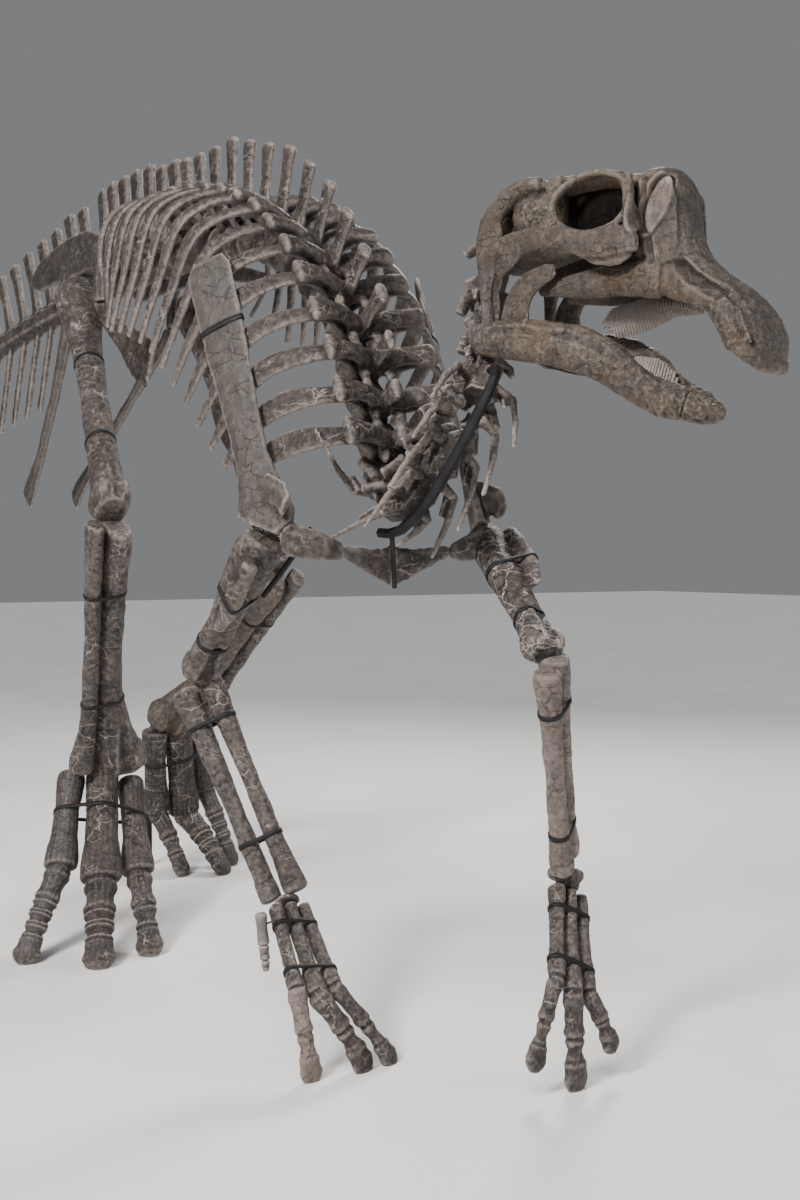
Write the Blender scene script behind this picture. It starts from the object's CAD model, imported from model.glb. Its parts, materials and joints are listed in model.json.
import json
import math
import random
import bmesh
import bpy
import numpy as np
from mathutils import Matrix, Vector, noise


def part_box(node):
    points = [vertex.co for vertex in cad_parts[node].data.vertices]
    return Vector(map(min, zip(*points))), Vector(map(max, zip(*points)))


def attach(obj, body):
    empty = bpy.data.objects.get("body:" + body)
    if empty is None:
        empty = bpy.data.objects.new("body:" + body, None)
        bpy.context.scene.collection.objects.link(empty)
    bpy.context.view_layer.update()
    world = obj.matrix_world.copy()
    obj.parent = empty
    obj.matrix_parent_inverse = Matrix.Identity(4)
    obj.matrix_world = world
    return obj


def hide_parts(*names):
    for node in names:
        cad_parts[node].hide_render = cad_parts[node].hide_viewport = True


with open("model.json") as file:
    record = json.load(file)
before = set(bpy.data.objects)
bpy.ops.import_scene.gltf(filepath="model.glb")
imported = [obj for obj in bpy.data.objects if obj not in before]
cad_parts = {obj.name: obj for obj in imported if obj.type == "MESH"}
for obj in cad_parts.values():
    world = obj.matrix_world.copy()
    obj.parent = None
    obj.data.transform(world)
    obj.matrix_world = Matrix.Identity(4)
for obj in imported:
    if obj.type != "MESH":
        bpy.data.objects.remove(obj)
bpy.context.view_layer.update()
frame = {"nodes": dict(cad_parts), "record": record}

nodes = frame["nodes"]
slotOf = {row["node"]: row["material_slot"] for row in frame["record"]["subparts"]}
chance = random.Random(7)
bones = {}

# the hips stand above x = 0 in the animal's own frame, which the sizes below use
halfGap = 0.00015
sacrumFront = 0.42
bodyShift = Vector((
    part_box("sacrum")[1].x + halfGap - sacrumFront,
    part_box("rib_cage_left")[0].y - halfGap,
    0,
))
upward = Vector((0, 0, 1))
forward = Vector((1, 0, 0))
leftward = Vector((0, 1, 0))
sides = {"right": -1, "left": 1}


def place(x, y, z):
    return Vector((x, y, z)) + bodyShift


def square(direction, along):
    # the share of a direction that stands square to another
    return (direction - along * direction.dot(along)).normalized()


# closed bodies as lists of corners and faces

def ringPoints(centre, side, over, a, b, count):
    turns = [(j + 0.5) / count * 2 * math.pi for j in range(count)]
    return [centre + side * (a * math.cos(t)) + over * (b * math.sin(t)) for t in turns]


def closeRings(rings):
    count = len(rings[0])
    points = [p for ring in rings for p in ring]
    faces = []
    for i in range(len(rings) - 1):
        for j in range(count):
            k = (j + 1) % count
            faces.append((i * count + j, i * count + k, (i + 1) * count + k, (i + 1) * count + j))
    faces.append(tuple(range(count - 1, -1, -1)))
    last = (len(rings) - 1) * count
    faces.append(tuple(range(last, last + count)))
    return points, faces


def tube(points, sizes, hint, count):
    rings = []
    for i, point in enumerate(points):
        along = (points[min(i + 1, len(points) - 1)] - points[max(i - 1, 0)]).normalized()
        side = hint.cross(along).normalized()
        rings.append(ringPoints(point, side, along.cross(side), sizes[i][0], sizes[i][1], count))
    return closeRings(rings)


def ball(centre, radii, axes, rows=8, count=12):
    rings = []
    for i in range(rows + 1):
        lat = math.pi * (0.04 + 0.92 * i / rows)
        middle = centre - axes[2] * (radii[2] * math.cos(lat))
        reach = math.sin(lat)
        rings.append(ringPoints(middle, axes[0], axes[1], radii[0] * reach, radii[1] * reach, count))
    return closeRings(rings)


def meshFrom(name, shapes):
    points = []
    faces = []
    for shapePoints, rows in shapes:
        start = len(points)
        points += [tuple(p) for p in shapePoints]
        faces += [tuple(start + k for k in row) for row in rows]
    mesh = bpy.data.meshes.new(name)
    mesh.from_pydata(points, [], faces)
    mesh.validate()
    body = bmesh.new()
    body.from_mesh(mesh)
    bmesh.ops.recalc_face_normals(body, faces=body.faces)
    body.to_mesh(mesh)
    body.free()
    return mesh


def addObject(name, mesh):
    piece = bpy.data.objects.new(name, mesh)
    bpy.context.scene.collection.objects.link(piece)
    return piece


def curvePoint(chain, i, share):
    # a point on the smooth curve between two neighbours of a chain
    p0, p1, p2, p3 = chain[i - 1:i + 3]
    t1 = (p1 - p0).length ** 0.5
    t2 = t1 + (p2 - p1).length ** 0.5
    t3 = t2 + (p3 - p2).length ** 0.5
    t = t1 + (t2 - t1) * share
    a1 = p0 * ((t1 - t) / t1) + p1 * (t / t1)
    a2 = p1 * ((t2 - t) / (t2 - t1)) + p2 * ((t - t1) / (t2 - t1))
    a3 = p2 * ((t3 - t) / (t3 - t2)) + p3 * ((t - t2) / (t3 - t2))
    b1 = a1 * ((t2 - t) / t2) + a2 * (t / t2)
    b2 = a2 * ((t3 - t) / (t3 - t1)) + a3 * ((t - t1) / (t3 - t1))
    return b1 * ((t2 - t) / (t2 - t1)) + b2 * ((t - t1) / (t2 - t1))


def chainOf(points):
    return [points[0] * 2 - points[1]] + points + [points[-1] * 2 - points[-2]]


def pointAlong(points, share):
    # the point at a share of the curve, with equal shares between all points
    position = min(max(share, 0.0), 1.0) * (len(points) - 1)
    i = min(int(position), len(points) - 2)
    return curvePoint(chainOf(points), i + 1, position - i)


def smoothCurve(points, count):
    # a smooth curve through the points, stepped evenly by length
    chain = chainOf(points)
    dense = [curvePoint(chain, i, s / 16) for i in range(1, len(chain) - 2) for s in range(16)]
    dense.append(points[-1])
    lengths = [0.0]
    for a, b in zip(dense, dense[1:]):
        lengths.append(lengths[-1] + (b - a).length)
    result = []
    k = 0
    for i in range(count):
        want = lengths[-1] * i / (count - 1)
        while k < len(dense) - 2 and lengths[k + 1] < want:
            k += 1
        share = (want - lengths[k]) / max(lengths[k + 1] - lengths[k], 1e-9)
        result.append(dense[k].lerp(dense[k + 1], min(share, 1.0)))
    return result


def loft(points, sizes, hint, steps=5, count=14, dome=0.5):
    # a smooth body along a curve, rounded at both ends
    line = smoothCurve(points, (len(points) - 1) * steps + 1)
    marks = np.cumsum([0.0] + [(b - a).length for a, b in zip(points, points[1:])])
    shares = np.linspace(0, marks[-1], len(line))
    wide, high = (np.interp(shares, marks, [s[k] for s in sizes]) for k in (0, 1))
    last = len(line) - 1
    rings = []
    for i, point in enumerate(line):
        along = (line[min(i + 1, last)] - line[max(i - 1, 0)]).normalized()
        side = hint.cross(along).normalized()
        turns = {0: (-72, -48, -24, 0), last: (0, 24, 48, 72)}.get(i, (0,))
        for angle in (math.radians(t) for t in turns):
            middle = point + along * (dome * min(wide[i], high[i]) * math.sin(angle))
            share = math.cos(angle)
            rings.append(ringPoints(middle, side, along.cross(side), wide[i] * share, high[i] * share, count))
    return closeRings(rings)


def vertebraFrames(points, total):
    # centre, direction, upward and leftward direction of each vertebra along a backbone line
    dense = smoothCurve(points, total * 8 + 1)
    rows = []
    for i in range(total):
        k = i * 8 + 4
        along = (dense[k + 1] - dense[k - 1]).normalized()
        over = along.cross(leftward).normalized()
        rows.append((dense[k], along, over, over.cross(along)))
    return rows


# sculpting of a finished surface

def corners(piece, kind="co"):
    flat = np.empty(len(piece.data.vertices) * 3)
    piece.data.vertices.foreach_get(kind, flat)
    return flat.reshape(-1, 3)


def moveCorners(piece, points):
    piece.data.vertices.foreach_set("co", points.reshape(-1))
    piece.data.update()


def lineDistance(points, line):
    # distance of each point from a chain of straight lengths
    best = np.full(len(points), 1e9)
    for a, b in zip(line, line[1:]):
        start = np.array(a)
        way = np.array(b) - start
        share = np.clip(((points - start) @ way) / max(way @ way, 1e-12), 0, 1)
        best = np.minimum(best, np.linalg.norm(points - start - share[:, None] * way, axis=1))
    return best


def carve(piece, line, reach, height):
    # a ridge along a line, or a groove where the height is negative
    points = corners(piece)
    near = np.clip(1 - (lineDistance(points, line) / reach) ** 2, 0, 1) ** 2
    moveCorners(piece, points + corners(piece, "normal") * (near * height)[:, None])


def roughen(piece, weight, size, height):
    # broken, pitted surface where the weight is above nothing
    points = corners(piece)
    push = np.zeros(len(points))
    for k in np.nonzero(weight > 0.01)[0]:
        push[k] = noise.turbulence(Vector(points[k]) / size, 3, False) - 0.9
    moveCorners(piece, points + corners(piece, "normal") * (push * weight * height)[:, None])


def cloudTexture(name, size, depth):
    texture = bpy.data.textures.new(name, "CLOUDS")
    texture.noise_scale = size
    texture.noise_depth = depth
    return texture


coarseCloud = cloudTexture("bone_swell", 0.075, 2)
fineCloud = cloudTexture("bone_grain", 0.016, 2)


def applyModifiers(piece):
    graph = bpy.context.evaluated_depsgraph_get()
    made = bpy.data.meshes.new_from_object(piece.evaluated_get(graph))
    old = piece.data
    piece.modifiers.clear()
    piece.data = made
    bpy.data.meshes.remove(old)


def finishPiece(piece, slot, look=None):
    piece.data.materials.clear()
    piece.data.materials.append(materials[look or slot])
    for face in piece.data.polygons:
        face.use_smooth = True
    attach(piece, "root")
    return piece


def plainPiece(name, shapes, slot, look=None):
    finishPiece(addObject(name, meshFrom(name, shapes)), slot, look)


def boneFrom(bone, shapes, look, withCad=False, nodeNames=None):
    # the shapes, and the CAD bone where it is kept, become one rounded, weathered surface
    nodeNames = nodeNames or [bone]
    mesh = meshFrom("bone_" + bone, shapes)
    body = bmesh.new()
    body.from_mesh(mesh)
    for node in nodeNames if withCad else []:
        body.from_mesh(nodes[node].data)
    body.to_mesh(mesh)
    body.free()
    piece = addObject("bone_" + bone, mesh)
    remesh = piece.modifiers.new("skin", "REMESH")
    remesh.mode = "VOXEL"
    remesh.voxel_size = look["voxel"]
    remesh.use_smooth_shade = True
    smooth = piece.modifiers.new("round", "SMOOTH")
    smooth.factor = 0.5
    smooth.iterations = look["rounds"]
    for cloud, strength in ((coarseCloud, look["swell"]), (fineCloud, look["grain"])):
        push = piece.modifiers.new("wear", "DISPLACE")
        push.texture = cloud
        push.texture_coords = "LOCAL"
        push.strength = strength
        push.mid_level = 0.5
    applyModifiers(piece)
    points = corners(piece)
    points[:, 2] = np.maximum(points[:, 2], 0.0)
    moveCorners(piece, points)
    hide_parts(*nodeNames)
    bones[bone] = finishPiece(piece, slotOf[nodeNames[0]])


# materials

def newMaterial(name):
    material = bpy.data.materials.new(name)
    material.use_nodes = True
    tree = material.node_tree
    return material, tree, tree.nodes["Principled BSDF"]


def noiseNode(tree, coords, scale, detail, rough=0.55):
    made = tree.nodes.new("ShaderNodeTexNoise")
    made.inputs["Scale"].default_value = scale
    made.inputs["Detail"].default_value = detail
    made.inputs["Roughness"].default_value = rough
    tree.links.new(coords, made.inputs["Vector"])
    return made.outputs["Fac"]


def rampNode(tree, value, stops):
    ramp = tree.nodes.new("ShaderNodeValToRGB")
    while len(ramp.color_ramp.elements) < len(stops):
        ramp.color_ramp.elements.new(0.5)
    for element, (position, colour) in zip(ramp.color_ramp.elements, stops):
        element.position = position
        element.color = (*colour, 1) if isinstance(colour, tuple) else (colour, colour, colour, 1)
    tree.links.new(value, ramp.inputs["Fac"])
    return ramp.outputs["Color"]


def noiseRamp(tree, coords, scale, detail, stops, rough=0.55):
    return rampNode(tree, noiseNode(tree, coords, scale, detail, rough), stops)


def stretched(tree, coords, factors):
    made = tree.nodes.new("ShaderNodeVectorMath")
    made.operation = "MULTIPLY"
    made.inputs[1].default_value = factors
    tree.links.new(coords, made.inputs[0])
    return made.outputs["Vector"]


def addRelief(tree, shader, height, strength, distance):
    bump = tree.nodes.new("ShaderNodeBump")
    bump.inputs["Strength"].default_value = strength
    bump.inputs["Distance"].default_value = distance
    tree.links.new(height, bump.inputs["Height"])
    tree.links.new(bump.outputs["Normal"], shader.inputs["Normal"])


def mixColour(tree, factor, first, second):
    mix = tree.nodes.new("ShaderNodeMix")
    mix.data_type = "RGBA"
    sockets = {s.identifier: s for s in mix.inputs}
    if isinstance(factor, float):
        sockets["Factor_Float"].default_value = factor
    else:
        tree.links.new(factor, sockets["Factor_Float"])
    for socket, value in ((sockets["A_Color"], first), (sockets["B_Color"], second)):
        if isinstance(value, tuple):
            socket.default_value = (*value, 1)
        else:
            tree.links.new(value, socket)
    return next(s for s in mix.outputs if s.identifier == "Result_Color")


def mathNode(tree, operation, first, second):
    made = tree.nodes.new("ShaderNodeMath")
    made.operation = operation
    for socket, value in zip(made.inputs, (first, second)):
        if isinstance(value, float):
            socket.default_value = value
        else:
            tree.links.new(value, socket)
    return made.outputs["Value"]


def cracks(tree, coords, scale, width, start):
    # thin broken lines between warped cells, kept where a slow noise is high
    warp = tree.nodes.new("ShaderNodeTexNoise")
    warp.inputs["Scale"].default_value = scale * 1.4
    warp.inputs["Detail"].default_value = 4.0
    tree.links.new(coords, warp.inputs["Vector"])
    shift = tree.nodes.new("ShaderNodeVectorMath")
    shift.operation = "MULTIPLY_ADD"
    shift.inputs[1].default_value = (0.7 / scale,) * 3
    tree.links.new(warp.outputs["Color"], shift.inputs[0])
    tree.links.new(coords, shift.inputs[2])
    cells = tree.nodes.new("ShaderNodeTexVoronoi")
    cells.feature = "DISTANCE_TO_EDGE"
    cells.inputs["Scale"].default_value = scale
    tree.links.new(shift.outputs["Vector"], cells.inputs["Vector"])
    line = rampNode(tree, cells.outputs["Distance"], [(0.0, 1.0), (width, 0.0)])
    some = noiseRamp(tree, coords, scale * 0.5, 2.0, [(start, 0.0), (start + 0.09, 1.0)])
    return mathNode(tree, "MULTIPLY", line, some)


def fossilMaterial(name, look):
    material, tree, shader = newMaterial(name)
    coords = tree.nodes.new("ShaderNodeTexCoord").outputs["Object"]
    across = stretched(tree, coords, (1.0, 1.0, 1.6))
    dark = look["dark"]
    stops = [(0.34, dark), (0.5, look["middle"]), (0.7, look["light"])]
    tone = noiseRamp(tree, coords, 4.2, 5.0, stops)
    mottle = noiseRamp(tree, coords, 34.0, 8.0, stops, 0.72)
    colour = mixColour(tree, 0.6, tone, mottle)
    # masks: fibres along the upright bones, patches of the tint
    upright = stretched(tree, coords, (1.0, 1.0, 0.16))
    fibre = noiseRamp(tree, upright, 85.0, 5.0, [(0.36, 0.55), (0.55, 0.0)], 0.6)
    tint = noiseRamp(tree, coords, 7.5, 4.0, [(0.47, 0.0), (0.64, look["tintShare"])])
    # cream veins, dark cracks and pits
    wide = cracks(tree, across, look["veinScale"], 0.026, look["veinStart"])
    fine = cracks(tree, across, look["veinScale"] * 2.3, 0.036, look["veinStart"] + 0.02)
    pale = mathNode(tree, "MULTIPLY", mathNode(tree, "MAXIMUM", wide, fine), look["veinShare"])
    split = cracks(tree, across, look["veinScale"] * 1.5, 0.04, 0.46)
    pits = noiseRamp(tree, coords, 130.0, 3.0, [(0.34, 0.75), (0.42, 0.0)], 0.6)
    shade = mathNode(tree, "MAXIMUM", mathNode(tree, "MULTIPLY", split, look["crackShare"]), pits)
    # dust on worn edges, shade in hollows
    geometry = tree.nodes.new("ShaderNodeNewGeometry")
    edge = rampNode(tree, geometry.outputs["Pointiness"], [(0.505, 0.0), (0.57, look["edgeShare"])])
    hollow = rampNode(tree, geometry.outputs["Pointiness"], [(0.42, 0.9), (0.495, 0.0)])
    layers = [
        (fibre, dark), (tint, look["tint"]), (pale, look["vein"]), (shade, tuple(c * 0.4 for c in dark)),
        (edge, look["edge"]), (hollow, tuple(c * 0.5 for c in dark)),
    ]
    for mask, paint in layers:
        colour = mixColour(tree, mask, colour, paint)
    tree.links.new(colour, shader.inputs["Base Color"])
    rough = noiseRamp(tree, coords, 40.0, 4.0, [(0.3, look["rough"] - 0.14), (0.7, look["rough"] + 0.1)])
    tree.links.new(rough, shader.inputs["Roughness"])
    shader.inputs["Specular IOR Level"].default_value = look["shine"]
    # relief: pores, grain and the cracks
    grain = mathNode(tree, "MULTIPLY", noiseNode(tree, coords, 160.0, 5.0, 0.7), 0.5)
    height = mathNode(tree, "ADD", grain, noiseNode(tree, coords, 46.0, 6.0, 0.68))
    height = mathNode(tree, "SUBTRACT", height, mathNode(tree, "MULTIPLY", split, 0.5))
    addRelief(tree, shader, height, look["relief"], 0.008)
    return material


commonLook = {
    "dark": (0.009, 0.0072, 0.006), "middle": (0.041, 0.0325, 0.0275), "light": (0.15, 0.125, 0.108),
    "tint": (0.062, 0.043, 0.038), "tintShare": 0.55,
    "vein": (0.38, 0.335, 0.29), "veinScale": 11.0, "veinStart": 0.53, "veinShare": 0.75, "crackShare": 0.7,
    "edge": (0.36, 0.31, 0.275), "edgeShare": 0.85, "rough": 0.62, "shine": 0.4, "relief": 0.75,
}
# what each finish changes of the common one
looks = {
    "fossil_bone": {},
    "fossil_bone_dark": {"middle": (0.036, 0.03, 0.026), "light": (0.1, 0.085, 0.076), "veinShare": 0.4},
    "fossil_bone_warm": {
        "dark": (0.016, 0.012, 0.009), "middle": (0.066, 0.052, 0.042), "light": (0.19, 0.157, 0.131),
        "tint": (0.11, 0.068, 0.038), "tintShare": 0.4, "veinScale": 15.0, "veinShare": 0.22,
        "crackShare": 0.22, "edge": (0.33, 0.275, 0.22), "edgeShare": 0.65,
    },
    "fossil_bone_smooth": {
        "dark": (0.028, 0.023, 0.02), "middle": (0.052, 0.044, 0.039), "light": (0.085, 0.073, 0.066),
        "tintShare": 0.2, "veinShare": 0.12, "crackShare": 0.9, "relief": 0.4,
    },
    "fossil_bone_pale": {
        "dark": (0.05, 0.038, 0.032), "middle": (0.15, 0.12, 0.102), "light": (0.33, 0.28, 0.24),
        "tint": (0.19, 0.132, 0.112), "veinShare": 0.6,
    },
    "veined_bone": {"vein": (0.44, 0.39, 0.35), "veinStart": 0.44, "veinShare": 0.9},
    "eye_socket": {
        "dark": (0.002, 0.0017, 0.0015), "middle": (0.007, 0.0055, 0.0048), "light": (0.017, 0.0135, 0.0115),
        "tint": (0.012, 0.008, 0.006), "veinShare": 0.05, "edgeShare": 0.1, "rough": 0.88, "shine": 0.05,
    },
}
materials = {name: fossilMaterial(name, {**commonLook, **look}) for name, look in looks.items()}


def steelMaterial():
    material, tree, shader = newMaterial("black_steel")
    shader.inputs["Specular IOR Level"].default_value = 0.24
    coords = tree.nodes.new("ShaderNodeTexCoord").outputs["Object"]
    stops = [(0.35, (0.006, 0.006, 0.007)), (0.65, (0.014, 0.014, 0.015)), (0.8, (0.04, 0.038, 0.036))]
    tree.links.new(noiseRamp(tree, coords, 22.0, 5.0, stops), shader.inputs["Base Color"])
    rough = noiseRamp(tree, coords, 60.0, 4.0, [(0.3, 0.52), (0.7, 0.7)])
    tree.links.new(rough, shader.inputs["Roughness"])
    addRelief(tree, shader, noiseNode(tree, coords, 320.0, 3.0), 0.15, 0.001)
    return material


materials["black_steel"] = steelMaterial()
print("materials ready")


def vary(index, share):
    # repeatable small differences between pieces of one row
    return 1 + share * math.sin(index * 12.9898 + 4.1) * math.cos(index * 4.37)


# trunk: the back and both sides of the rib cage as one
trunk = {
    "voxel": 0.0046, "rounds": 5, "swell": 0.006, "grain": 0.0024, "count": 15, "radius": 0.056,
    "spool": [(-1, 1), (-0.7, 0.86), (0, 0.76), (0.7, 0.86), (1, 1)],
    "bend": (0.25, 0.8, 0.14), "flank": (0.68, 1.0, 0.6),
}
dorsalLine = [place(x, 0, z) for x, z in (
    (0.42, 2.17), (0.8, 2.14), (1.1, 2.065), (1.32, 1.945), (1.48, 1.8), (1.58, 1.65), (1.65, 1.51),
    (1.7, 1.4),
)]
ribEnds = [
    (0.4, 0.21, 2.02), (0.56, 0.3, 1.9), (0.76, 0.32, 1.85), (0.96, 0.315, 1.775), (1.12, 0.3, 1.65),
    (1.27, 0.275, 1.5), (1.4, 0.235, 1.375),
]
trunkShapes = []
dorsalFrames = vertebraFrames(dorsalLine, trunk["count"])
halfLength = (dorsalFrames[1][0] - dorsalFrames[0][0]).length / 2
for i, (centre, along, over, side) in enumerate(dorsalFrames):
    share = (i + 0.5) / trunk["count"]
    radius = trunk["radius"]
    trunkShapes.append(loft(
        [centre + along * (halfLength * s * 0.96) for s, _ in trunk["spool"]],
        [(radius * w * 0.92, radius * w) for _, w in trunk["spool"]], over, steps=2, dome=0.15))
    # neural spine with a swollen top
    top = (0.31 - 0.19 * share ** 2.2) * vary(i + 20, 0.03)
    lean = 0.16 - 0.2 * share
    deep = 0.038 - 0.01 * share
    heights = [0.017, radius + 0.02, radius + (top - radius) * 0.55, top - 0.03, top - 0.012]
    spineSizes = [
        (0.02, 0.03), (0.013, deep * 0.95), (0.009, deep * 0.82), (0.013, deep * 0.95), (0.014, deep),
    ]
    trunkShapes.append(loft(
        [centre + over * h - along * (lean * h) for h in heights], spineSizes, along, steps=4, dome=0.8))
    for sign in (-1, 1):
        out = side * sign
        # arch, joint knobs and side process
        reach = 0.142 + 0.014 * chance.random()
        rise = 0.115 - 0.045 * share
        arch = [
            (0.012, 0.075), (0.055, 0.07 + rise * 0.45), (0.1, 0.075 + rise * 0.58),
            (reach, 0.075 + rise * 0.6),
        ]
        trunkShapes.append(loft(
            [centre + out * a + over * b for a, b in arch],
            [(0.032, 0.024), (0.026, 0.017), (0.027, 0.015), (0.038, 0.019)], over, steps=4, dome=0.6))
        for way in (-1, 1):
            knob = centre + out * 0.036 + over * 0.08 + along * (0.034 * way)
            trunkShapes.append(ball(knob, (0.028, 0.015, 0.013), (along, out, over)))
        # rib
        tip = pointAlong([place(x, sign * y, z) for x, y, z in ribEnds], share * 1.02)
        wide = bodyShift.y + sign * (0.3 - 0.12 * (share - 0.4) ** 2 - 0.02 * max(0.0, share - 0.5))
        root = centre + out * (radius * 0.3) + over * (radius * 0.5)
        neck = centre + out * 0.128 + over * (0.14 - 0.05 * share)
        bend, flank = (
            Vector((
                neck.x + (tip.x - neck.x) * a,
                neck.y + (wide - neck.y) * b,
                neck.z + (tip.z - neck.z) * c,
            ))
            for a, b, c in (trunk["bend"], trunk["flank"])
        )
        broad = (0.014 if i == 0 else 0.019 + 0.006 * share) * vary(i, 0.12)
        ribSizes = [
            (0.011, 0.014), (0.012, broad * 1.1), (0.0105, broad * 1.5), (0.009, broad * 1.05),
            (0.0075, broad * 0.55),
        ]
        ribHint = along.lerp(forward, 0.3).normalized()
        trunkShapes.append(loft([root, neck, bend, flank, tip], ribSizes, ribHint, steps=8, dome=0.8))
        trunkShapes.append(ball(neck + over * 0.004, (0.02, 0.018, 0.016), (along, out, over)))
boneFrom("trunk", trunkShapes, trunk, nodeNames=["rib_cage_right", "rib_cage_left"])
print("trunk ready")

# hips and tail
tail = {
    "voxel": 0.0056, "rounds": 4, "swell": 0.006, "grain": 0.0026,
    "count": 33, "sacralCount": 7, "spineTop": 0.35, "firstSpine": 10, "middleStart": 17, "baseStart": 25,
}
tailLine = [place(*spot) for spot in (
    (-3.86, -1.06, 1.64), (-3.2, -0.76, 1.71), (-2.3, -0.44, 1.85), (-1.33, -0.2, 2.045),
    (-0.8, -0.075, 2.15), (-0.38, 0, 2.19),
)]
sacralLine = [place(x, 0, z) for x, z in ((-0.38, 2.19), (0, 2.195), (0.42, 2.17))]


def spineBlade(row, radius, top, lean, deep):
    # a broad blade with a swollen, rounded top
    centre, along, over, _ = row
    heights = [radius * 0.4, radius + (top - radius) * 0.4, radius + (top - radius) * 0.8, top - 0.012]
    sizes = [(0.013, deep * 0.85), (0.009, deep * 0.8), (0.011, deep), (0.013, deep * 1.02)]
    points = [centre + over * h - along * (lean * h) for h in heights]
    return loft(points, sizes, along, steps=4, dome=0.8)


tailShapes = {"tail_tip": [], "tail_rear": [], "tail_middle": [], "tail_base": [], "sacrum": []}
for i, row in enumerate(vertebraFrames(tailLine, tail["count"])):
    centre, along, over, _ = row
    share = (i + 0.5) / tail["count"]
    radius = 0.009 + 0.053 * share ** 0.85
    bone = "tail_rear" if i < tail["middleStart"] else "tail_middle" if i < tail["baseStart"] else "tail_base"
    if i >= tail["firstSpine"]:
        top = radius + (tail["spineTop"] - 0.062) * min(1.0, (share - 0.2) * 1.3) ** 0.9
        tailShapes[bone].append(spineBlade(row, radius, top * vary(i, 0.03), 0.22, 0.014 + 0.022 * share))
    if i in (tail["middleStart"], tail["baseStart"]):
        # lower spine that the cut between two runs leaves short
        drop = radius + 0.3 * min(1.0, (share - 0.2) * 1.9)
        tailShapes[bone].append(loft(
            [centre - over * h - along * (0.42 * h) for h in (radius * 0.4, drop * 0.5, drop)],
            [(0.013, 0.011), (0.009, 0.014), (0.008, 0.016)], along, steps=4, count=12))
for i, row in enumerate(vertebraFrames(sacralLine, tail["sacralCount"])):
    top = (tail["spineTop"] + 0.03 - 0.01 * i) * vary(i + 3, 0.03)
    tailShapes["sacrum"].append(spineBlade(row, 0.062, top, 0.12, 0.044))
for bone, shapes in tailShapes.items():
    boneFrom(bone, shapes, tail, True)

# neck: longer arches on each vertebra, and ribs on the rear ones
neckPlan = {
    "voxel": 0.0036, "rounds": 3, "swell": 0.006, "grain": 0.003,
    "count": 10, "rearCount": 5, "ribCount": 6,
}
neckLine = [place(*spot) for spot in (
    (1.7, 0, 1.4), (1.745, 0, 1.335), (1.8, 0.008, 1.325), (1.856, 0.038, 1.392), (1.89, 0.084, 1.485),
    (1.884, 0.152, 1.59), (1.826, 0.226, 1.7), (1.788, 0.252, 1.815), (1.802, 0.26, 1.912),
    (1.856, 0.276, 1.962),
)]
neckShapes = {"neck_rear": [], "neck_front": []}
for i, (centre, along, over, side) in enumerate(vertebraFrames(neckLine, neckPlan["count"])):
    reach = 1.0 if i < neckPlan["ribCount"] else 0.62
    # steps out, up and along, half widths, and corners round each arm
    arms = [
        ([(0.02, 0.03, 0), (0.06 * reach, 0.05, -0.018), (0.084 * reach, 0.052, -0.056)],
         [(0.022, 0.018), (0.019, 0.014), (0.016, 0.011)], 10),
        ([(0.02, 0.026, 0), (0.072 * reach, 0.03, 0.034)], [(0.02, 0.016), (0.017, 0.013)], 10),
    ]
    if i < neckPlan["ribCount"]:
        arms.append((
            [(0.03, -0.01, 0), (0.078, -0.022, -0.012), (0.1, -0.03, -0.08), (0.112, -0.04, -0.165)],
            [(0.014, 0.013), (0.011, 0.01), (0.0085, 0.0085), (0.005, 0.005)], 8))
    for sign in (-1, 1):
        out = side * sign
        for steps, sizes, count in arms:
            points = [centre + out * a + over * b + along * c for a, b, c in steps]
            neckShapes["neck_rear" if i < neckPlan["rearCount"] else "neck_front"].append(
                tube(points, sizes, over, count))
for bone, shapes in neckShapes.items():
    boneFrom(bone, shapes, neckPlan, True)
print("hips, tail and neck ready")

# head, measured from the point midway between the jaw joints
headAngle = math.radians(19)
headForward = Vector((math.cos(headAngle), math.sin(headAngle), 0))
headLeft = Vector((-math.sin(headAngle), math.cos(headAngle), 0))
headOrigin = place(1.876, 0.287, 1.737)
headAxes = (headForward, headLeft, upward)


def inHead(x, y, z):
    return headOrigin + (headForward * x + headLeft * y + upward * z) / 1000


def headCoordinates(piece):
    away = corners(piece) - np.array(headOrigin)
    return np.stack([away @ np.array(headForward), away @ np.array(headLeft), away[:, 2]], axis=1) * 1000


def pushCheeks(piece, local, amount):
    # moves each corner to its own side of the head, by millimetres
    push = np.outer(np.sign(local[:, 1]) * amount / 1000, np.array(headLeft))
    moveCorners(piece, corners(piece) + push)


def sideCarve(piece, line, reach, height):
    # a ridge or groove on both cheeks along a line of distances and heights
    local = headCoordinates(piece)
    flat = np.stack([local[:, 0], np.zeros(len(local)), local[:, 2]], axis=1)
    near = np.clip(1 - (lineDistance(flat, [(x, 0, z) for x, z in line]) / reach) ** 2, 0, 1) ** 2
    near *= np.clip((np.abs(local[:, 1]) - 20) / 20, 0, 1)
    pushCheeks(piece, local, near * height)


def press(piece, x, z, halfLength, halfHeight, slant, depth):
    # an oval hollow in both cheeks
    local = headCoordinates(piece)
    turn = math.radians(slant)
    a, b = local[:, 0] - x, local[:, 2] - z
    first = (a * math.cos(turn) + b * math.sin(turn)) / halfLength
    second = (b * math.cos(turn) - a * math.sin(turn)) / halfHeight
    weight = np.clip((1.1 - np.hypot(first, second)) / 0.3, 0, 1)
    weight *= np.clip((np.abs(local[:, 1]) - 24) / 16, 0, 1)
    pushCheeks(piece, local, weight * -depth)


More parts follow.
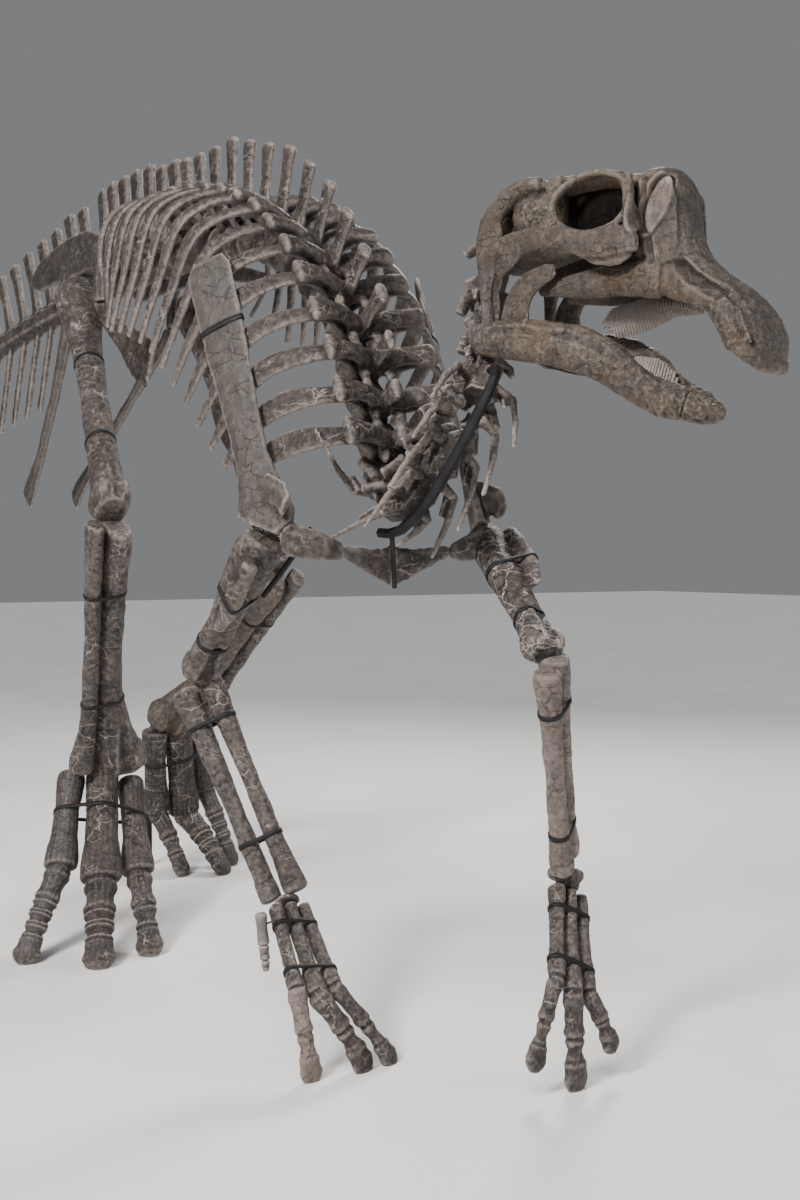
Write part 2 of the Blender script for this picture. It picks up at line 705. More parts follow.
def ovalLine(x, z, halfLength, halfHeight, slant):
    count = 28
    turn = math.radians(slant)
    rows = []
    for k in range(count + 1):
        t = 2 * math.pi * k / count
        a, b = halfLength * math.cos(t), halfHeight * math.sin(t)
        rows.append((
            x + a * math.cos(turn) - b * math.sin(turn),
            z + a * math.sin(turn) + b * math.cos(turn)))
    return rows


def headBar(rows, sign, hint):
    # a bar of the head from rows of place and two half widths, the second one along the hint
    points = [inHead(x, sign * y, z) for x, y, z, _, _ in rows]
    return loft(points, [(high / 1000, thick / 1000) for _, _, _, high, thick in rows], hint, count=16)


skullLook = {"voxel": 0.0032, "rounds": 7, "swell": 0.005, "grain": 0.0012}
# bars of one cheek: place, half height and half thickness
cheekBars = {
    "corner": [
        (-10, 118, 250, 30, 15), (14, 112, 290, 26, 17), (62, 104, 320, 22, 18), (120, 104, 326, 20, 18),
    ],
    "rear": [
        (-14, 112, 268, 30, 15), (-10, 120, 246, 34, 15), (-4, 130, 205, 40, 14), (-4, 136, 152, 30, 13),
        (-8, 136, 96, 17, 13), (-6, 134, 44, 16, 15), (-4, 132, 10, 18, 17),
    ],
    "jugal": [
        (14, 134, 152, 38, 12), (50, 138, 172, 42, 12), (90, 141, 188, 31, 12), (126, 142, 193, 27, 12),
        (166, 143, 193, 28, 12), (211, 141, 180, 25, 12), (261, 136, 162, 29, 12), (294, 131, 152, 40, 12),
        (324, 126, 152, 48, 12), (350, 120, 148, 42, 12), (366, 115, 146, 26, 11),
    ],
    "behindEye": [
        (164, 108, 322, 28, 16), (175, 126, 292, 16, 13), (178, 135, 260, 11, 12), (173, 141, 226, 18, 13),
        (164, 142, 200, 34, 12),
    ],
    "beforeEye": [
        (344, 98, 304, 18, 14), (358, 111, 272, 13, 13), (364, 117, 222, 14, 13), (367, 119, 176, 17, 12),
        (366, 118, 138, 20, 12),
    ],
    "noseWall": [
        (388, 62, 306, 36, 16), (402, 66, 262, 48, 15), (408, 68, 210, 48, 15), (412, 68, 160, 46, 15),
        (418, 66, 112, 42, 16),
    ],
    "bill": [
        (410, 58, 92, 44, 16), (456, 62, 62, 36, 18), (506, 76, 30, 24, 19), (554, 93, 5, 25, 18),
        (592, 101, -36, 34, 16), (614, 97, -90, 32, 15),
    ],
    "maxilla": [
        (100, 62, 91, 15, 16), (170, 64, 90, 25, 20), (250, 66, 88, 34, 22), (330, 68, 88, 40, 24),
        (412, 62, 80, 46, 24),
    ],
}
billEdge = [
    (500, 72, 24, 14, 14), (550, 96, 2, 15, 14), (592, 105, -38, 15, 20), (618, 99, -94, 15, 22),
    (641, 62, -124, 15, 18), (649, -6, -130, 15, 16),
]
# bars down the middle: roof, braincase with the wall between the eyes, and the arched nose
roof = [
    (-34, 0, 292, 74, 22), (20, 0, 310, 100, 26), (100, 0, 320, 112, 26), (180, 0, 322, 113, 24),
    (260, 0, 318, 104, 22), (330, 0, 308, 84, 20), (366, 0, 304, 66, 20),
]
braincase = [
    (-36, 0, 214, 66, 66), (20, 0, 226, 80, 84), (100, 0, 236, 66, 80), (170, 0, 240, 40, 74),
    (230, 0, 244, 16, 70), (330, 0, 236, 15, 76), (388, 0, 210, 26, 92),
]
noseArch = [
    (352, 0, 300, 18, 66), (384, 0, 312, 24, 64), (410, 0, 300, 33, 64), (426, 0, 262, 36, 68),
    (434, 0, 216, 35, 69), (443, 0, 166, 35, 67), (466, 0, 114, 36, 62), (516, 0, 66, 32, 68),
    (572, 0, 24, 30, 86), (616, 0, -18, 28, 97), (640, 0, -68, 21, 92), (646, 0, -112, 16, 72),
]
skullShapes = []
for sign in (-1, 1):
    skullShapes += [headBar(rows, sign, headLeft) for rows in cheekBars.values()]
    eyeRim = []
    for k in range(19):
        t = 2 * math.pi * k / 18
        x, z = 272 + 93 * math.cos(t), 254 + 68 * math.sin(t)
        y = float(np.interp(x, [180, 360], [139, 115])) - 16 * max(0.0, math.sin(t))
        eyeRim.append((x, y, z, 9, 12))
    skullShapes.append(headBar(eyeRim, sign, headLeft))
    # stone left in the opening behind the eye
    skullShapes.append(ball(inHead(100, sign * 70, 266), (0.078, 0.046, 0.064), headAxes))
    skullShapes.append(headBar(billEdge, sign, upward))
skullShapes += [headBar(roof, 1, upward), headBar(braincase, 1, upward), headBar(noseArch, 1, headLeft)]
boneFrom("skull", skullShapes, skullLook)
skull = bones["skull"]
nostrilSlant = 66
press(skull, 406, 241, 62, 25, nostrilSlant, 26)
# lines on the cheeks with their reach and height: nostril rim, nose, bill and jugal
skullLines = [
    (ovalLine(406, 241, 72, 34, nostrilSlant), 10, 6),
    ([(376, 300), (380, 262), (386, 215), (392, 165), (398, 118)], 13, -12),
    ([(466, 98), (494, 70), (534, 44), (572, 22)], 20, -17),
    ([(200, 150), (250, 128), (310, 122), (380, 128)], 9, -3),
]
for line, reach, height in skullLines:
    sideCarve(skull, line, reach, height)
local = headCoordinates(skull)
billWeight = np.clip((local[:, 0] - 440) / 80, 0, 1) * np.clip((36 - local[:, 2]) / 30, 0, 1)
pitWeight = np.clip(1 - np.hypot((local[:, 0] - 110) / 52, (local[:, 2] - 268) / 60), 0, 1) * 2
roughen(skull, np.clip(billWeight * 0.5 + pitWeight, 0, 1), 0.016, 0.0042)

# dark stone deep in the eye sockets
socketShapes = [
    ball(inHead(270, sign * 46, 253), (0.108, 0.013, 0.086), headAxes, rows=12, count=24) for sign in (-1, 1)
]
plainPiece("eye_sockets", socketShapes, "fossil_bone_dark", "eye_socket")

# pale stone that fills the nostrils
narisTurn = math.radians(nostrilSlant)
narisLong = headForward * math.cos(narisTurn) + upward * math.sin(narisTurn)
narisAxes = (narisLong, headLeft.cross(narisLong), headLeft)
narisShapes = [
    ball(inHead(407, sign * 64, 240), (0.064, 0.026, 0.012), narisAxes, rows=12, count=28) for sign in (-1, 1)
]
plainPiece("naris_fill", narisShapes, "fossil_bone_pale")

# jaws: place and two half widths, in millimetres
jaw = {
    "voxel": 0.0034, "rounds": 6, "swell": 0.008, "grain": 0.0024,
    "line": [
        (-58, 128, 6, 17, 22), (-15, 132, -19, 25, 40), (60, 129, -27, 30, 48), (135, 122, -40, 33, 52),
        (215, 112, -59, 33, 53), (295, 100, -96, 33, 50), (345, 90, -136, 34, 42), (400, 76, -172, 33, 42),
        (440, 63, -192, 31, 44), (462, 56, -200, 28, 42),
    ],
    "hook": [
        (66, 120, -34, 50, 15), (58, 113, 22, 41, 14), (64, 107, 66, 35, 14), (96, 102, 104, 30, 13),
        (142, 99, 122, 24, 12), (158, 98, 127, 16, 9),
    ],
    "toothBed": [
        (236, 74, -96, 14, 20), (280, 70, -104, 14, 36), (340, 62, -120, 14, 40), (385, 58, -146, 14, 32),
        (410, 56, -172, 14, 14),
    ],
    "beak": [
        (470, -50, -206, 24, 36), (494, -42, -213, 23, 27), (510, -20, -211, 17, 17), (516, 0, -209, 15, 15),
        (510, 20, -211, 17, 17), (494, 42, -213, 23, 27), (470, 50, -206, 24, 36),
    ],
}
for name, sign in sides.items():
    jawShapes = [headBar(jaw["line"], sign, upward), headBar(jaw["hook"], sign, headLeft)]
    if name == "left":
        jawShapes.append(headBar(jaw["toothBed"], sign, upward))
    boneFrom("lower_jaw_" + name, jawShapes, jaw)
boneFrom("beak_lower", [headBar(jaw["beak"], 1, upward)], jaw)
for bone in ("lower_jaw_right", "lower_jaw_left", "beak_lower"):
    local = headCoordinates(bones[bone])
    roughen(bones[bone], np.clip((local[:, 0] - 330) / 130, 0.12, 0.7), 0.02, 0.0052)
for bone in ("lower_jaw_right", "lower_jaw_left"):
    sideCarve(bones[bone], [(20, -8), (110, -14), (200, -30), (290, -66), (330, -100)], 14, -4)
    sideCarve(bones[bone], [(104, 30), (112, -2), (150, -20), (200, -24)], 16, 7)

# tooth rows of the far side: packed upright teeth, with rows of place, low end and high end
toothRows = {
    "teeth_upper": {
        "line": [
            (212, 33, 4, 20), (240, 33, -24, 46), (330, 33, -12, 62), (400, 30, 8, 54), (466, 27, 6, 30),
        ],
        "lean": -0.25,
    },
    "teeth_lower": {
        "line": [
            (240, 58, -112, -80), (280, 54, -138, -66), (340, 46, -158, -78), (385, 42, -176, -112),
            (408, 40, -184, -156),
        ],
        "lean": 0.2,
    },
}
toothPitch = 7.5
for name, row in toothRows.items():
    shapes = []
    xs = [r[0] for r in row["line"]]
    steps = int((xs[-1] - xs[0]) / toothPitch)
    for k in range(steps + 1):
        x = xs[0] + (xs[-1] - xs[0]) * k / steps
        y, low, high = (float(np.interp(x, xs, [r[c] for r in row["line"]])) for c in (1, 2, 3))
        slant = row["lean"] * (high - low) / 2
        wide = 0.0042 * (0.9 + 0.2 * chance.random())
        middle = (low + high) / 2 + 2 * chance.random()
        shapes.append(tube(
            [inHead(x - slant, y, low), inHead(x, y - 3, middle), inHead(x + slant, y, high)],
            [(0.0032, wide * 0.8), (0.0062, wide), (0.0032, wide * 0.8)], headForward, count=8))
    plainPiece(name, shapes, "fossil_bone")
print("head ready")

# limbs: the degrees that each bone leans forward from straight down and splays to its own side
legPose = {
    "right": {"femur": (40, 6), "tibia": (-25, -6), "metatarsal": (35, 12), "toe": (52, 16)},
    "left": {"femur": (21, 9), "tibia": (-49, -7), "metatarsal": (-14, 10), "toe": (56, 14)},
}
armPose = {
    "right": {"humerus": (-46, 2), "forearm": (25, -13), "metacarpal": (51, 5)},
    "left": {"humerus": (57, -13), "forearm": (-15, 16), "metacarpal": (37, -22)},
}
digitPose = {
    "right": {"footTurn": 24, "toeSpread": (0.15, 0.22), "fingerLean": 14, "fingerTurn": (0, -36, -70),
              "wristGap": 0.0, "innerBack": 0.068},
    "left": {"footTurn": 26, "toeSpread": (0.12, 0.12), "fingerLean": 4, "fingerTurn": (30, 0, -34),
             "wristGap": 0.05, "innerBack": 0.04},
}


def limbWay(angles, sign):
    lean, splay = (math.radians(a) for a in angles)
    flat = math.cos(splay)
    return Vector((math.sin(lean) * flat, sign * math.sin(splay), -math.cos(lean) * flat))


def limbShape(start, end, hint, rows, inward=Vector()):
    # a limb bone from rows of share, half width, half depth and shift to the inside
    points = [start.lerp(end, row[0]) + inward * (row[3] / 1000 if len(row) > 3 else 0) for row in rows]
    sizes = [(row[1] / 1000, row[2] / 1000) for row in rows]
    return loft(points, sizes, hint, steps=4, count=18, dome=0.3)


def condyles(joint, along, out, spread, radii):
    # two rounded knobs side by side at the end of a limb bone
    across = square(out, along)
    axes = (across, along.cross(across), along)
    return [ball(joint + across * s, radii, axes, rows=10, count=16) for s in spread]


# rows of share, half width, half depth and shift to the inside
limbRows = {
    "femur": [
        (-0.02, 60, 48), (0.03, 82, 62), (0.09, 82, 62), (0.18, 62, 54), (0.32, 48, 48), (0.5, 44, 46),
        (0.66, 45, 49), (0.8, 47, 58), (0.89, 51, 70), (0.95, 54, 75), (0.975, 49, 68),
    ],
    "tibia": [
        (0.035, 42, 82, 10), (0.07, 45, 90, 10), (0.14, 43, 75, 9), (0.28, 40, 50, 7), (0.5, 39, 42, 6),
        (0.68, 46, 44, 10), (0.82, 66, 54, 28), (0.91, 84, 64, 44), (0.95, 90, 68, 50), (0.97, 82, 62, 50),
    ],
    "fibula": [
        (0.03, 26, 40, 0), (0.07, 28, 42, 0), (0.2, 26, 30, 3), (0.5, 24, 23, 8), (0.8, 26, 27, 7),
        (0.92, 38, 36, -7), (0.965, 38, 36, -9),
    ],
    "humerus": [
        (0.06, 48, 40), (0.11, 62, 47), (0.22, 60, 46), (0.4, 47, 42), (0.58, 41, 38), (0.75, 41, 37),
        (0.88, 48, 41), (0.94, 48, 41),
    ],
    "radius": [
        (0.035, 30, 33), (0.08, 32, 35), (0.2, 25, 27), (0.5, 21, 23), (0.78, 24, 25), (0.92, 31, 31),
        (0.96, 30, 30),
    ],
    "ulna": [
        (0.03, 33, 40), (0.08, 35, 43), (0.2, 29, 33), (0.5, 23, 26), (0.8, 23, 25), (0.93, 29, 29),
        (0.96, 28, 28),
    ],
    "outerMetatarsal": [
        (0.015, 42, 52), (0.08, 44, 54), (0.35, 38, 42), (0.62, 41, 40), (0.86, 53, 48), (0.95, 53, 48),
    ],
    "middleMetatarsal": [
        (0.015, 50, 58), (0.08, 52, 60), (0.35, 51, 50), (0.62, 52, 48), (0.86, 65, 56), (0.95, 65, 56),
    ],
    "outerMetacarpal": [
        (0.06, 17, 24), (0.14, 18, 25), (0.4, 16, 18), (0.7, 17, 18), (0.88, 21, 22), (0.96, 20, 21),
    ],
    "middleMetacarpal": [
        (0.06, 17, 27), (0.14, 17, 27), (0.4, 17, 20), (0.7, 19, 20), (0.88, 24, 25), (0.96, 24, 24),
    ],
}
# crests: share, step to the back where there is one, half widths
ridgeRows = {
    "femur": [(0.34, 0.046, 0.014, 0.02), (0.46, 0.08, 0.012, 0.034), (0.56, 0.046, 0.012, 0.018)],
    "tibia": [(0.06, 0.016, 0.034), (0.14, 0.015, 0.032), (0.26, 0.012, 0.014)],
    "humerus": [(0.14, 0.02, 0.022), (0.26, 0.02, 0.033), (0.44, 0.018, 0.031), (0.55, 0.013, 0.012)],
}
limbLength = {
    "femur": 1.03, "tibia": 0.91, "metatarsal": 0.38, "toe": 0.29,
    "humerus": 0.55, "forearm": 0.61, "metacarpal": 0.27, "finger": 0.185,
}
# long bone, girth, hoof and the shares where the short bones meet
digitPlan = {
    "toe_inner": ("outerMetatarsal", 0.048, 0.042, (0.02, 0.48, 0.72)),
    "toe_middle": ("middleMetatarsal", 0.06, 0.05, (0.02, 0.45, 0.6, 0.75)),
    "toe_outer": ("outerMetatarsal", 0.048, 0.042, (0.02, 0.4, 0.53, 0.65, 0.77)),
    "finger_outer": ("outerMetacarpal", 0.028, 0.031, (0.0, 0.52, 0.74)),
    "finger_middle": ("middleMetacarpal", 0.033, 0.037, (0.0, 0.5, 0.72)),
    "finger_inner": ("outerMetacarpal", 0.026, 0.029, (0.0, 0.52, 0.75)),
}
# share and widths of a short bone and of the hoof, and widths of the core through the short bones
digitRows = {
    "short": [(0.08, 0.9), (0.17, 0.95), (0.34, 0.8), (0.55, 0.68), (0.76, 0.82), (0.86, 0.92), (0.92, 0.88)],
    "core": (0.76, 0.7, 0.6, 0.48),
    "hoof": [(0.08, 0.84, 0.66), (0.3, 0.84, 0.58), (0.58, 1.05, 0.5), (0.84, 0.84, 0.38), (0.97, 0.5, 0.26)],
}


def digitShapes(root, knuckle, tip, hint, plan):
    # long bone, short bones, their core and the hoof of one toe or finger
    long, girth, hoof, meets = plan
    shapes = [limbShape(root, knuckle, hint, limbRows[long])]
    middle = knuckle.lerp(tip, 0.5) + upward * (girth * 0.7)

    def at(t):
        return knuckle * (1 - t) ** 2 + middle * (2 * t * (1 - t)) + tip * t ** 2

    for a, b in zip(meets, meets[1:]):
        wide = girth * (1 - 0.3 * (a + b) / 2)
        shapes.append(loft(
            [at(a + (b - a) * s) for s, _ in digitRows["short"]],
            [(wide * w, wide * w * 0.86) for _, w in digitRows["short"]], hint, steps=3, count=16, dome=0.3))
    last = meets[-1]
    shapes.append(loft(
        [at(t) for t in (0, last * 0.35, last * 0.7, last + 0.06)],
        [(girth * s, girth * s) for s in digitRows["core"]], hint, steps=4, count=12))
    shapes.append(loft(
        [at(last + (1 - last) * s) for s, _, _ in digitRows["hoof"]],
        [(hoof * a, hoof * b) for _, a, b in digitRows["hoof"]], hint, steps=4, count=18, dome=0.6))
    return shapes


limbLook = {"voxel": 0.005, "rounds": 6, "swell": 0.01, "grain": 0.003}
thinLook = {"voxel": 0.0042, "rounds": 6, "swell": 0.008, "grain": 0.0026}
plateLook = {"voxel": 0.0046, "rounds": 14, "swell": 0.008, "grain": 0.0026}
bladeLook = {"voxel": 0.0048, "rounds": 12, "swell": 0.007, "grain": 0.0014}
digitLook = {"voxel": 0.003, "rounds": 3, "swell": 0.006, "grain": 0.003}
joints = {}
for name, sign in sides.items():
    out = leftward * sign
    turn = digitPose[name]
    ways = {key: limbWay(angles, sign) for key, angles in {**legPose[name], **armPose[name]}.items()}
    thigh, shin, footWay, toeWay = (ways[key] for key in ("femur", "tibia", "metatarsal", "toe"))
    upperArm, foreArm, handWay = (ways[key] for key in ("humerus", "forearm", "metacarpal"))
    hip = place(0, sign * 0.213, 2.105)
    knee = hip + thigh * limbLength["femur"]
    ankle = knee + shin * limbLength["tibia"]
    shoulder = place(1.684, sign * 0.3, 1.27)
    elbow = shoulder + upperArm * limbLength["humerus"]
    wrist = elbow + foreArm * limbLength["forearm"]
    joints[name] = {
        "hip": hip, "knee": knee, "ankle": ankle, "shoulder": shoulder, "elbow": elbow, "wrist": wrist,
        "ways": ways,
    }

    for bone in ("ilium", "ischium", "scapula"):
        boneFrom(bone + "_" + name, [], bladeLook, True)
    for bone in ("pubis", "coracoid", "sternal"):
        boneFrom(bone + "_" + name, [], plateLook, True)

    # hind leg
    shapes = {"femur": [limbShape(hip, knee, forward, limbRows["femur"])]}
    shapes["femur"] += condyles(knee - thigh * 0.072, thigh, out, (-0.029, 0.029), (0.029, 0.075, 0.056))
    shapes["femur"].append(loft(
        [hip.lerp(knee, t) - forward * back - out * 0.018 for t, back, _, _ in ridgeRows["femur"]],
        [(a, b) for _, _, a, b in ridgeRows["femur"]], forward))
    shapes["tibia"] = [limbShape(knee, ankle, forward, limbRows["tibia"], -out)]
    shapes["tibia"].append(loft(
        [knee.lerp(ankle, t) + forward * (0.06 - 0.13 * t) for t, _, _ in ridgeRows["tibia"]],
        [(a, b) for _, a, b in ridgeRows["tibia"]], forward))
    shapes["tibia"] += condyles(ankle - shin * 0.066, shin, out, (-0.098, -0.012), (0.042, 0.066, 0.054))
    fibulaTop = knee + out * 0.061 + forward * 0.03
    fibulaEnd = ankle + out * 0.074 + forward * 0.03
    shapes["fibula"] = [limbShape(fibulaTop, fibulaEnd, forward, limbRows["fibula"], -out)]

    # foreleg
    armFront, foreFront = square(forward, upperArm), square(forward, foreArm)
    shapes["humerus"] = [limbShape(shoulder, elbow, armFront, limbRows["humerus"])]
    shapes["humerus"].append(loft(
        [shoulder.lerp(elbow, t) + armFront * 0.042 + out * 0.03 for t, _, _ in ridgeRows["humerus"]],
        [(a, b) for _, a, b in ridgeRows["humerus"]], armFront))
    shapes["humerus"] += condyles(
        elbow - upperArm * 0.058, upperArm, out, (-0.025, 0.025), (0.027, 0.043, 0.04))
    foreSide = foreFront.cross(foreArm).normalized()
    outerSide = sign * math.copysign(1, foreSide.y)
    apart = (foreFront * 0.6 - foreSide * (outerSide * 0.8)).normalized()
    for bone, way in (("radius", 1), ("ulna", -1)):
        shapes[bone] = [limbShape(
            elbow + apart * (0.037 * way), wrist + apart * (0.033 * way) - foreArm * turn["wristGap"],
            foreFront, limbRows[bone])]
    for bone, parts in shapes.items():
        boneFrom(bone + "_" + name, parts, limbLook if bone in ("femur", "tibia", "humerus") else thinLook)

    # grooves between the knobs at the lower ends
    kneeFront, ankleFront = square(forward, thigh), square(forward, shin)
    for s in (-1, 1):
        groove = [knee - thigh * t + kneeFront * (0.09 * s) for t in (0.2, 0.1, 0.0)]
        carve(bones["femur_" + name], groove, 0.034, -0.022)
    groove = [ankle - shin * t + ankleFront * 0.066 - out * 0.055 for t in (0.2, 0.1, 0.0)]
    carve(bones["tibia_" + name], groove, 0.034, -0.018)
    groove = [elbow - upperArm * t + armFront * 0.05 for t in (0.15, 0.08, 0.0)]
    carve(bones["humerus_" + name], groove, 0.028, -0.016)

    # toes and fingers: name, shift and swing to the side, share of the long bone, tip
    footTurn = math.radians(turn["footTurn"])
    footFront = square(Vector((math.cos(footTurn), sign * math.sin(footTurn), 0)), footWay)
    footSide = footFront.cross(footWay).normalized()
    medial = -sign * math.copysign(1, footSide.y)
    toeTip = ankle + footWay * limbLength["metatarsal"] + toeWay * limbLength["toe"]
    toeFlat = Vector((toeWay.x, toeWay.y, 0)).normalized()
    toeSide = Vector((-toeFlat.y, toeFlat.x, 0)) * sign
    innerTip = toeTip - toeSide * turn["toeSpread"][0] - toeFlat * 0.095
    outerTip = toeTip + toeSide * turn["toeSpread"][1] - toeFlat * 0.095
    toeRows = [
        ("toe_inner", medial * 0.082, medial * 0.08, 0.88, innerTip),
        ("toe_middle", 0, 0, 1, toeTip),
        ("toe_outer", -medial * 0.098, -medial * 0.08, 0.86, outerTip),
    ]
    handFront = square(forward, handWay)
    handSide = handFront.cross(handWay).normalized()
    thumbward = -sign * math.copysign(1, handSide.y)
    fingerRows = []
    for i, (bone, share) in enumerate((("finger_outer", 0.94), ("finger_middle", 1), ("finger_inner", 0.92))):
        step = (i - 1) * thumbward
        reach = limbLength["finger"] * (1 if i == 1 else 0.86)
        tip = wrist + handWay * limbLength["metacarpal"] + handSide * (step * 0.034)
        tip += forward * (reach * math.sin(math.radians(turn["fingerLean"])))
        tip += leftward * (reach * sign * math.sin(math.radians(turn["fingerTurn"][i])))
        tip.z = -0.006 if i == 1 or name == "right" else 0.064
        fingerRows.append((bone, step * 0.036, step * 0.06, share, tip))
    for rows, joint, way, hint, length in (
        (toeRows, ankle, footWay, footFront, limbLength["metatarsal"]),
        (fingerRows, wrist, handWay, handFront, limbLength["metacarpal"]),
    ):
        across = hint.cross(way).normalized()
        for bone, shift, swing, share, tip in rows:
            if rows is toeRows:
                tip.z = -0.002
            root = joint + across * shift
            if bone == "toe_inner":
                root -= hint * turn["innerBack"]
            knuckle = root + (way + across * swing).normalized() * (length * share)
            parts = digitShapes(root, knuckle, tip, hint, digitPlan[bone])
            if bone == "finger_middle":
                # wrist bones, with two more where the wrist gapes
                axes = (across, hint, way)
                parts.append(ball(wrist - way * 0.004, (0.034, 0.03, 0.012), axes))
                for s in (-0.022, 0.02) if turn["wristGap"] else ():
                    parts.append(ball(wrist + foreArm * -0.036 + across * s, (0.026, 0.034, 0.019), axes))
            node = bone + "_" + name
            if node == "finger_outer_right":
                # its short bones are pale, the long one is dark
                boneFrom(node + "_tip", parts[1:], digitLook, nodeNames=[node])
                parts = parts[:1]
            boneFrom(node, parts, digitLook)
finishPiece(bones["finger_outer_right"], "fossil_bone_pale", "fossil_bone")
finishPiece(bones["humerus_left"], "fossil_bone_pale", "veined_bone")
print("limbs ready")

for node in ("stand_neck_rod", "stand_sternum_rod", "stand_foot_post"):
    nodes[node].data.materials.clear()
    nodes[node].data.materials.append(materials["black_steel"])


# straps round the bones, with wires and a rod
strap = {"thickness": 0.0024, "sunk": 0.001, "reach": 0.3, "step": 0.008, "wire": 0.0022, "rod": 0.007}


def outline(points):
    # convex outline of flat points
    rows = sorted(points)
    halves = []
    for ordered in (rows, rows[::-1]):
        chain = []
        for p in ordered:
            while len(chain) > 1:
                a, b = chain[-2:]
                if (b[0] - a[0]) * (p[1] - a[1]) - (b[1] - a[1]) * (p[0] - a[0]) > 0:
                    break
                chain.pop()
            chain.append(p)
        halves.append(chain[:-1])
    return halves[0] + halves[1]


def strapAround(boneNames, centre, along, width):
    # a flat band drawn tight round the bones
    first = square(upward if abs(along.z) < 0.8 else forward, along)
    second = along.cross(first)
    flat = []
    for bone in boneNames:
        away = corners(bones[bone]) - np.array(centre)
        near = np.abs(away @ np.array(along)) < width * 0.7
        near &= np.linalg.norm(away, axis=1) < strap["reach"]
        flat += list(zip(away[near] @ np.array(first), away[near] @ np.array(second)))
    loop = outline(flat)
    ring = []
    for k, p in enumerate(loop):
        q = loop[(k + 1) % len(loop)]
        steps = max(1, int(math.dist(p, q) / strap["step"]))
        ring += [(p[0] + (q[0] - p[0]) * s / steps, p[1] + (q[1] - p[1]) * s / steps) for s in range(steps)]
    middle = (sum(p[0] for p in ring) / len(ring), sum(p[1] for p in ring) / len(ring))
    inner, outer = -strap["sunk"], strap["thickness"]
    points = []
    for p in ring:
        length = max(math.dist(p, middle), 1e-4)
        spot = centre + first * p[0] + second * p[1]
        away = (first * (p[0] - middle[0]) + second * (p[1] - middle[1])) / length
        for lift, shift in ((inner, -0.5), (outer, -0.5), (outer, 0.5), (inner, 0.5)):
            points.append(spot + away * lift + along * (width * shift))
    faces = []
    for k in range(len(ring)):
        n = (k + 1) % len(ring)
        for c in range(4):
            d = (c + 1) % 4
            faces.append((k * 4 + c, k * 4 + d, n * 4 + d, n * 4 + c))
    return points, faces


strapShapes = []
for name, sign in sides.items():
    spots = joints[name]
    ways = spots["ways"]
    toes = [kind + name for kind in ("toe_inner_", "toe_middle_", "toe_outer_")]
    fingers = [kind + name for kind in ("finger_inner_", "finger_middle_", "finger_outer_")]
    plan = [
        (["femur_" + name], spots["hip"], ways["femur"], (0.36, 0.72), 0.011),
        (["tibia_" + name, "fibula_" + name], spots["knee"], ways["tibia"], (0.24, 0.62), 0.01),
        (toes, spots["ankle"], ways["metatarsal"], (0.13,), 0.012),
        (["humerus_" + name], spots["shoulder"], ways["humerus"], (0.21, 0.4), 0.011),
        (["radius_" + name, "ulna_" + name], spots["elbow"], ways["forearm"], (0.12, 0.44), 0.011),
        (fingers, spots["wrist"], ways["metacarpal"], (0.07, 0.2), 0.01),
    ]
    for boneNames, start, way, distances, width in plan:
        for distance in distances:
            strapShapes.append(strapAround(boneNames, start + way * distance, way, width))
    bladeTop = place(1.352, sign * 0.312, 1.95)
    bladeWay = (spots["shoulder"] - bladeTop).normalized()
    strapShapes.append(strapAround(["scapula_" + name], bladeTop + bladeWay * 0.2, bladeWay, 0.016))

# small outer finger of the right hand, hung on a wire, and the wire between the jaws
spots = joints["right"]
handWay = spots["ways"]["metacarpal"]
outerWay = square(-leftward, handWay)
smallTop = spots["wrist"] + outerWay * 0.078 + handWay * 0.03
smallEnd = smallTop - upward * 0.128 + forward * 0.03
smallRows = [
    [(0.0, 15), (0.22, 13), (0.5, 15)], [(0.58, 13), (0.68, 11), (0.77, 13)], [(0.85, 11), (0.98, 8)],
]
smallShapes = [
    loft([smallTop.lerp(smallEnd, t) for t, _ in rows], [(r / 1000, r / 1000) for _, r in rows], forward)
    for rows in smallRows
]
plainPiece("finger_small_right", smallShapes, "fossil_bone")
wires = [
    (forward, [smallTop.lerp(smallEnd, 0.2), spots["wrist"] + outerWay * 0.05 + handWay * 0.05,
               spots["wrist"] + outerWay * 0.03 + handWay * 0.06]),
    (forward, [smallTop.lerp(smallEnd, t) for t in (0.1, 0.5, 0.95)]),
    (upward, [inHead(150, -116, -97), inHead(150, 0, -101), inHead(150, 116, -97)]),
]
wireSizes = [(strap["wire"], strap["wire"])] * 3
strapShapes += [loft(line, wireSizes, hint, steps=4, count=8) for hint, line in wires]
# steel rod from the breast to the right upper arm
rodRows = [(0.0, 0.1, 0.02), (0.2, 0.082, 0.03), (0.42, 0.058, 0.034)]
rodLine = [spots["shoulder"].lerp(spots["elbow"], t) + leftward * a + forward * b for t, a, b in rodRows]
strapShapes.append(loft(rodLine, [(strap["rod"], strap["rod"])] * 3, upward, steps=4, count=12))
plainPiece("straps", strapShapes, "black_steel")
print("straps ready")

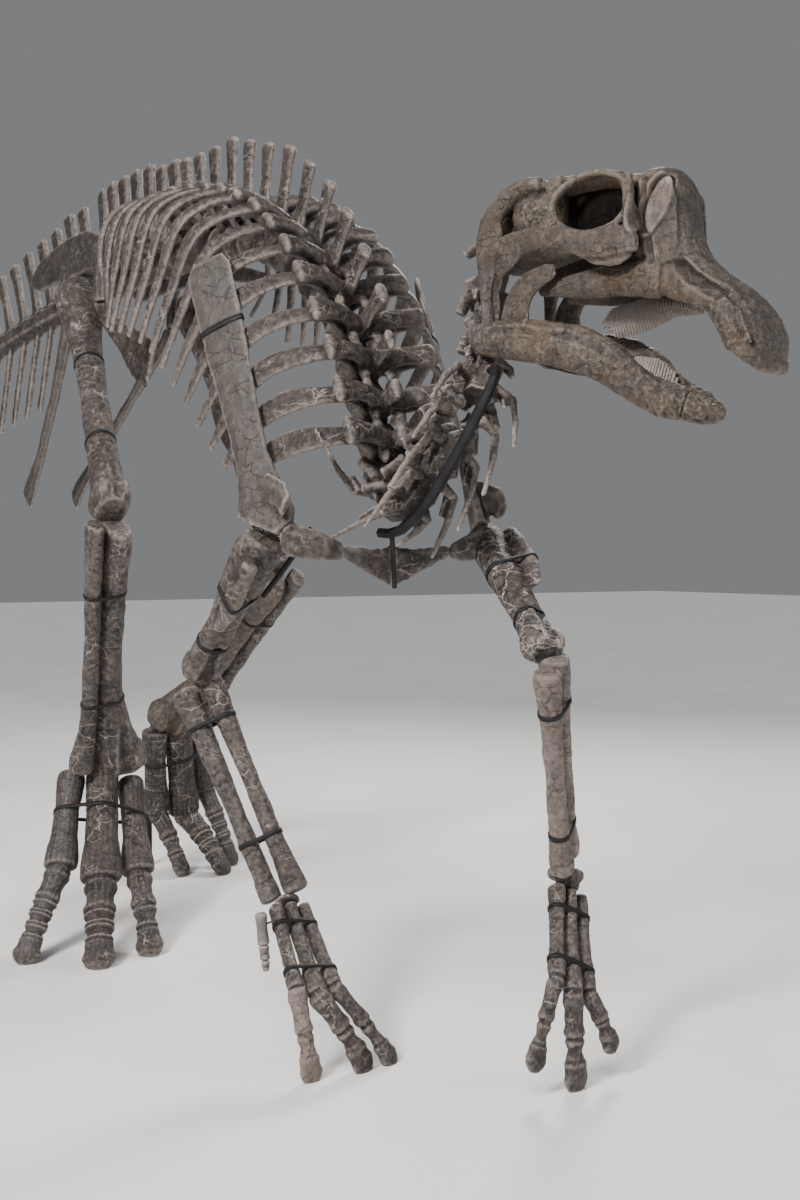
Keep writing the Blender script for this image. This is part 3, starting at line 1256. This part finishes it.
# floor, backdrop and light
floorCorners = [Vector((-30, -30, 0)), Vector((30, -30, 0)), Vector((30, 30, 0)), Vector((-30, 30, 0))]
floor = addObject("floor", meshFrom("floor", [(floorCorners, [(0, 1, 2, 3)])]))
floorLook, floorTree, floorShader = newMaterial("floor")
floorPlace = floorTree.nodes.new("ShaderNodeTexCoord").outputs["Object"]
floorStops = [(0.3, (0.72, 0.71, 0.695)), (0.7, (0.78, 0.77, 0.755))]
floorTone = noiseRamp(floorTree, floorPlace, 1.4, 4.0, floorStops)
floorTree.links.new(floorTone, floorShader.inputs["Base Color"])
floorShader.inputs["Roughness"].default_value = 0.8
floor.data.materials.append(floorLook)

studio = {"colour": (0.74, 0.755, 0.78, 1), "strength": 0.28, "sun": 1.5, "sunAngle": 24}
world = bpy.data.worlds.new("studio")
bpy.context.scene.world = world
world.use_nodes = True
backdrop = world.node_tree.nodes["Background"]
backdrop.inputs["Color"].default_value = studio["colour"]
backdrop.inputs["Strength"].default_value = studio["strength"]


def aim(piece, direction):
    piece.rotation_euler = direction.to_track_quat("-Z", "Y").to_euler()


def areaLight(name, spot, target, size, power, colour):
    data = bpy.data.lights.new(name, "AREA")
    data.shape = "DISK"
    data.size = size
    data.energy = power
    data.color = colour
    light = addObject(name, data)
    light.location = spot
    aim(light, target - spot)


sunData = bpy.data.lights.new("sky_panel", "SUN")
sunData.energy = studio["sun"]
sunData.angle = math.radians(studio["sunAngle"])
aim(addObject("sky_panel", sunData), Vector((-0.35, 0.45, -1)))
areaLight("key", place(3.4, -4.2, 4.2), place(1.0, 0, 1.3), 1.2, 440, (1, 0.97, 0.94))
areaLight("fill", place(5.0, 3.2, 2.4), place(1.2, 0, 1.3), 2.0, 70, (0.93, 0.96, 1))
areaLight("rim", place(-1.6, 3.4, 4.4), place(1.0, 0, 1.6), 1.4, 260, (1, 0.98, 0.96))

# camera at the photo's angle
cameraData = bpy.data.cameras.new("camera")
camera = addObject("camera", cameraData)
bpy.context.scene.camera = camera
view = {"focal": 1340.0, "wide": 800.0, "high": 1200.0, "middle": (431.0, 580.0), "sensor": 36.0}
cameraData.sensor_width = view["sensor"]
cameraData.lens = view["focal"] / view["high"] * view["sensor"]
cameraData.shift_x = -(view["middle"][0] - view["wide"] / 2) / view["high"]
cameraData.shift_y = (view["middle"][1] - view["high"] / 2) / view["high"]
cameraData.clip_end = 100.0
camera.location = place(4.51431, -1.640858, 1.205996)
aim(camera, Vector((-0.8454, 0.5338, -0.0178)))
print("stage ready")
